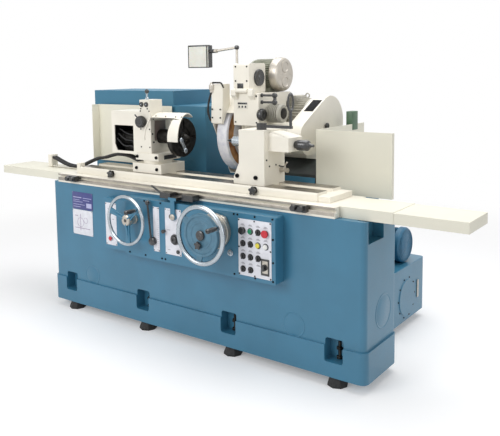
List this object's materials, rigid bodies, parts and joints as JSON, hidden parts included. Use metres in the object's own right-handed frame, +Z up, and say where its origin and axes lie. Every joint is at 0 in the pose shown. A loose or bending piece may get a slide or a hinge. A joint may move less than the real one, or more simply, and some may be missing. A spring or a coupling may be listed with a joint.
{
  "type": "cylindrical grinding machine",
  "caption": "Floor-standing universal cylindrical grinder with a long travelling table, workhead, tailstock, guarded grinding wheel, control apron and rear electrical cabinet.",
  "frame": {"origin": "on the floor, under the middle of the whole machine's bounding box", "axes": "+Z up, +X along the table to the operator's right, -Y towards the operator"},
  "size_m": [3.3904, 1.5542, 1.7339],
  "materials": {
    "blue_paint": "blue enamel on cast iron, half gloss",
    "blue_sheet": "blue enamel on sheet steel, half gloss",
    "motor_blue": "blue enamel",
    "motor_grey": "grey enamel, half gloss",
    "black_iron": "black enamel, satin",
    "cream_paint": "cream enamel on cast iron, half gloss",
    "cream_sheet": "cream enamel on sheet steel, half gloss",
    "black_rubber": "matte black rubber",
    "bright_steel": "bright turned steel",
    "bright_aluminium": "polished aluminium",
    "turned_iron": "turned and oiled",
    "black_plastic": "glossy black",
    "red_plastic": "glossy red",
    "green_plastic": "glossy green",
    "yellow_plastic": "glossy yellow",
    "white_plastic": "glossy white",
    "abrasive": "white vitrified abrasive, matte",
    "lamp_steel": "grey enamelled tube",
    "lamp_plastic": "black housing"
  },
  "bodies": {
    "base": {"bed_casting": "blue_paint", "wheelhead_bed": "blue_paint", "hydraulic_tank": "blue_sheet", "hydraulic_motor": "motor_blue", "foot_front_1": "black_iron", "foot_front_2": "black_iron", "foot_front_3": "black_iron", "foot_front_4": "black_iron", "foot_rear_1": "black_iron", "foot_rear_2": "black_iron", "apron_box": "blue_paint", "electrical_cabinet": "blue_sheet", "left_splash_guard": "cream_sheet", "right_splash_guard": "cream_sheet", "way_bellows": "black_rubber"},
    "cabinet_door": {"cabinet_door": "blue_sheet"},
    "table": {"lower_table": "cream_paint", "left_way_cover": "cream_sheet", "right_way_cover": "cream_sheet"},
    "left_dog": {"left_trip_dog": "black_iron"},
    "right_dog": {"right_trip_dog": "black_iron"},
    "reversing_lever": {"reversing_lever": "black_iron"},
    "swivel_table": {"swivel_table": "cream_paint", "table_conduit": "black_rubber"},
    "workhead_base": {"workhead_base": "cream_paint"},
    "workhead": {"workhead_body": "cream_paint", "workhead_motor": "motor_grey"},
    "work_spindle": {"faceplate": "turned_iron"},
    "tailstock": {"tailstock_body": "cream_paint"},
    "quill": {"tailstock_quill": "bright_steel"},
    "quill_lever": {"quill_lever": "black_iron"},
    "wheelhead_slide": {"wheelhead_saddle": "cream_paint"},
    "wheelhead": {"wheelhead_body": "cream_paint", "wheel_guard": "cream_sheet", "main_motor": "motor_grey", "drive_belt": "black_rubber", "belt_guard": "cream_sheet", "internal_motor": "motor_grey"},
    "wheel": {"grinding_wheel": "abrasive", "wheel_spindle": "bright_steel"},
    "motor_pulley": {"motor_pulley": "turned_iron"},
    "internal_head": {"internal_grinding_head": "cream_paint"},
    "lamp_arm": {"lamp_arm": "lamp_steel"},
    "lamp_head": {"lamp_head": "lamp_plastic"},
    "traverse_handwheel": {"traverse_handwheel": "bright_steel"},
    "traverse_handle": {"traverse_handle": "black_plastic"},
    "infeed_handwheel": {"infeed_handwheel": "bright_aluminium"},
    "infeed_handle": {"infeed_handle": "black_plastic"},
    "table_lever": {"table_lever": "black_iron"},
    "feed_knob": {"feed_knob": "black_plastic"},
    "feed_dial": {"feed_dial": "black_plastic"},
    "main_switch": {"main_switch": "black_plastic"},
    "selector_1": {"selector_switch_1": "black_plastic"},
    "selector_2": {"selector_switch_2": "black_plastic"},
    "emergency_stop": {"emergency_stop_button": "red_plastic"},
    "green_button": {"green_button": "green_plastic"},
    "black_button": {"black_button": "black_plastic"},
    "yellow_button": {"yellow_button": "yellow_plastic"},
    "white_button": {"white_button": "white_plastic"},
    "red_button": {"red_button": "red_plastic"}
  },
  "joints": [
    {"name": "cabinet_door_swing", "type": "hinge", "parent": "base", "child": "cabinet_door", "pos_m": [-1.11965, 0.39745, 0.768], "axis": [0, 0, 1], "range_deg": [0, 110]},
    {"name": "table_traverse", "type": "slide", "parent": "base", "child": "table", "axis": [-1, 0, 0], "range_m": [-0.45, 0.45]},
    {"name": "left_dog_slide", "type": "slide", "parent": "table", "child": "left_dog", "axis": [1, 0, 0], "range_m": [-0.1, 0.5]},
    {"name": "right_dog_slide", "type": "slide", "parent": "table", "child": "right_dog", "axis": [1, 0, 0], "range_m": [-0.5, 0.1]},
    {"name": "reversing_lever_swing", "type": "hinge", "parent": "base", "child": "reversing_lever", "pos_m": [0.08785, -0.55115, 0.758], "axis": [0, 1, 0], "range_deg": [-5, 5]},
    {"name": "table_swivel", "type": "hinge", "parent": "table", "child": "swivel_table", "pos_m": [0.02485, -0.27285, 0.9066], "axis": [0, 0, -1], "range_deg": [-3, 3]},
    {"name": "workhead_slide", "type": "slide", "parent": "swivel_table", "child": "workhead_base", "axis": [1, 0, 0], "range_m": [-0.38, 0], "deforming": ["table_conduit"]},
    {"name": "workhead_swivel", "type": "hinge", "parent": "workhead_base", "child": "workhead", "pos_m": [-0.29015, -0.27285, 1.03], "axis": [0, 0, -1], "range_deg": [-45, 0]},
    {"name": "work_spindle_spin", "type": "hinge", "parent": "workhead", "child": "work_spindle", "pos_m": [-0.26015, -0.27285, 1.1726], "axis": [1, 0, 0], "continuous": true},
    {"name": "tailstock_slide", "type": "slide", "parent": "swivel_table", "child": "tailstock", "axis": [1, 0, 0], "range_m": [-0.25, 0.15]},
    {"name": "quill_lever_swing", "type": "hinge", "parent": "tailstock", "child": "quill_lever", "pos_m": [0.53085, -0.32285, 1.2502], "axis": [0, 0, -1], "range_deg": [0, 30]},
    {"name": "quill_slide", "type": "slide", "parent": "tailstock", "child": "quill", "axis": [1, 0, 0], "range_m": [0, 0.03]},
    {"name": "wheelhead_infeed", "type": "slide", "parent": "base", "child": "wheelhead_slide", "axis": [0, 1, 0], "range_m": [-0.12, 0], "deforming": ["way_bellows"]},
    {"name": "wheelhead_swivel", "type": "hinge", "parent": "wheelhead_slide", "child": "wheelhead", "pos_m": [0.37485, 0.32715, 0.9506], "axis": [0, 0, -1], "range_deg": [-10, 10]},
    {"name": "wheel_spin", "type": "hinge", "parent": "wheelhead", "child": "wheel", "pos_m": [0.37485, 0.08215, 1.1726], "axis": [1, 0, 0], "continuous": true},
    {"name": "motor_pulley_spin", "type": "hinge", "parent": "wheelhead", "child": "motor_pulley", "pos_m": [0.52085, 0.33715, 1.2496], "axis": [1, 0, 0], "continuous": true},
    {"name": "internal_head_swing", "type": "hinge", "parent": "wheelhead", "child": "internal_head", "pos_m": [0.26585, -0.13285, 1.4516], "axis": [-1, 0, 0], "range_deg": [-180, 0]},
    {"name": "lamp_swing", "type": "hinge", "parent": "wheelhead", "child": "lamp_arm", "pos_m": [0.08485, 0.05715, 1.4259], "axis": [0, 0, 1], "range_deg": [-60, 60]},
    {"name": "lamp_tilt", "type": "hinge", "parent": "lamp_arm", "child": "lamp_head", "pos_m": [-0.09015, 0.05715, 1.6939], "axis": [1, 0, 0], "range_deg": [-40, 40]},
    {"name": "traverse_handwheel_spin", "type": "hinge", "parent": "base", "child": "traverse_handwheel", "pos_m": [-0.23015, -0.55115, 0.71], "axis": [0, 1, 0], "continuous": true},
    {"name": "traverse_handle_spin", "type": "hinge", "parent": "traverse_handwheel", "child": "traverse_handle", "pos_m": [-0.13874, -0.62815, 0.78142], "axis": [0, 1, 0], "continuous": true},
    {"name": "infeed_handwheel_spin", "type": "hinge", "parent": "base", "child": "infeed_handwheel", "pos_m": [0.39485, -0.55115, 0.722], "axis": [0, 1, 0], "continuous": true},
    {"name": "infeed_handle_spin", "type": "hinge", "parent": "infeed_handwheel", "child": "infeed_handle", "pos_m": [0.50814, -0.69315, 0.77483], "axis": [0, 1, 0], "continuous": true},
    {"name": "table_lever_swing", "type": "hinge", "parent": "base", "child": "table_lever", "pos_m": [-0.07515, -0.55115, 0.597], "axis": [0, 1, 0], "range_deg": [-20, 20]},
    {"name": "feed_knob_turn", "type": "hinge", "parent": "base", "child": "feed_knob", "pos_m": [0.01485, -0.55115, 0.667], "axis": [0, 1, 0], "range_deg": [-135, 135]},
    {"name": "feed_dial_turn", "type": "hinge", "parent": "base", "child": "feed_dial", "pos_m": [0.09085, -0.55115, 0.628], "axis": [0, 1, 0], "range_deg": [-135, 135]},
    {"name": "main_switch_turn", "type": "hinge", "parent": "base", "child": "main_switch", "pos_m": [0.70485, -0.55115, 0.57], "axis": [0, 1, 0], "range_deg": [0, 90]},
    {"name": "selector_1_turn", "type": "hinge", "parent": "base", "child": "selector_1", "pos_m": [0.56585, -0.55115, 0.677], "axis": [0, 1, 0], "range_deg": [-45, 45]},
    {"name": "selector_2_turn", "type": "hinge", "parent": "base", "child": "selector_2", "pos_m": [0.61385, -0.55115, 0.677], "axis": [0, 1, 0], "range_deg": [-45, 45]},
    {"name": "emergency_stop_push", "type": "slide", "parent": "base", "child": "emergency_stop", "axis": [0, 1, 0], "range_m": [0, 0.004], "stiffness_N_per_m": 800},
    {"name": "green_button_push", "type": "slide", "parent": "base", "child": "green_button", "axis": [0, 1, 0], "range_m": [0, 0.004], "stiffness_N_per_m": 800},
    {"name": "black_button_push", "type": "slide", "parent": "base", "child": "black_button", "axis": [0, 1, 0], "range_m": [0, 0.004], "stiffness_N_per_m": 800},
    {"name": "yellow_button_push", "type": "slide", "parent": "base", "child": "yellow_button", "axis": [0, 1, 0], "range_m": [0, 0.004], "stiffness_N_per_m": 800},
    {"name": "white_button_push", "type": "slide", "parent": "base", "child": "white_button", "axis": [0, 1, 0], "range_m": [0, 0.004], "stiffness_N_per_m": 800},
    {"name": "red_button_push", "type": "slide", "parent": "base", "child": "red_button", "axis": [0, 1, 0], "range_m": [0, 0.004], "stiffness_N_per_m": 800}
  ],
  "couplings": [
    {"joint": "quill_slide", "follows": "quill_lever_swing", "m_per_rad": 0.0572},
    {"joint": "motor_pulley_spin", "follows": "wheel_spin", "ratio": 0.8}
  ]
}
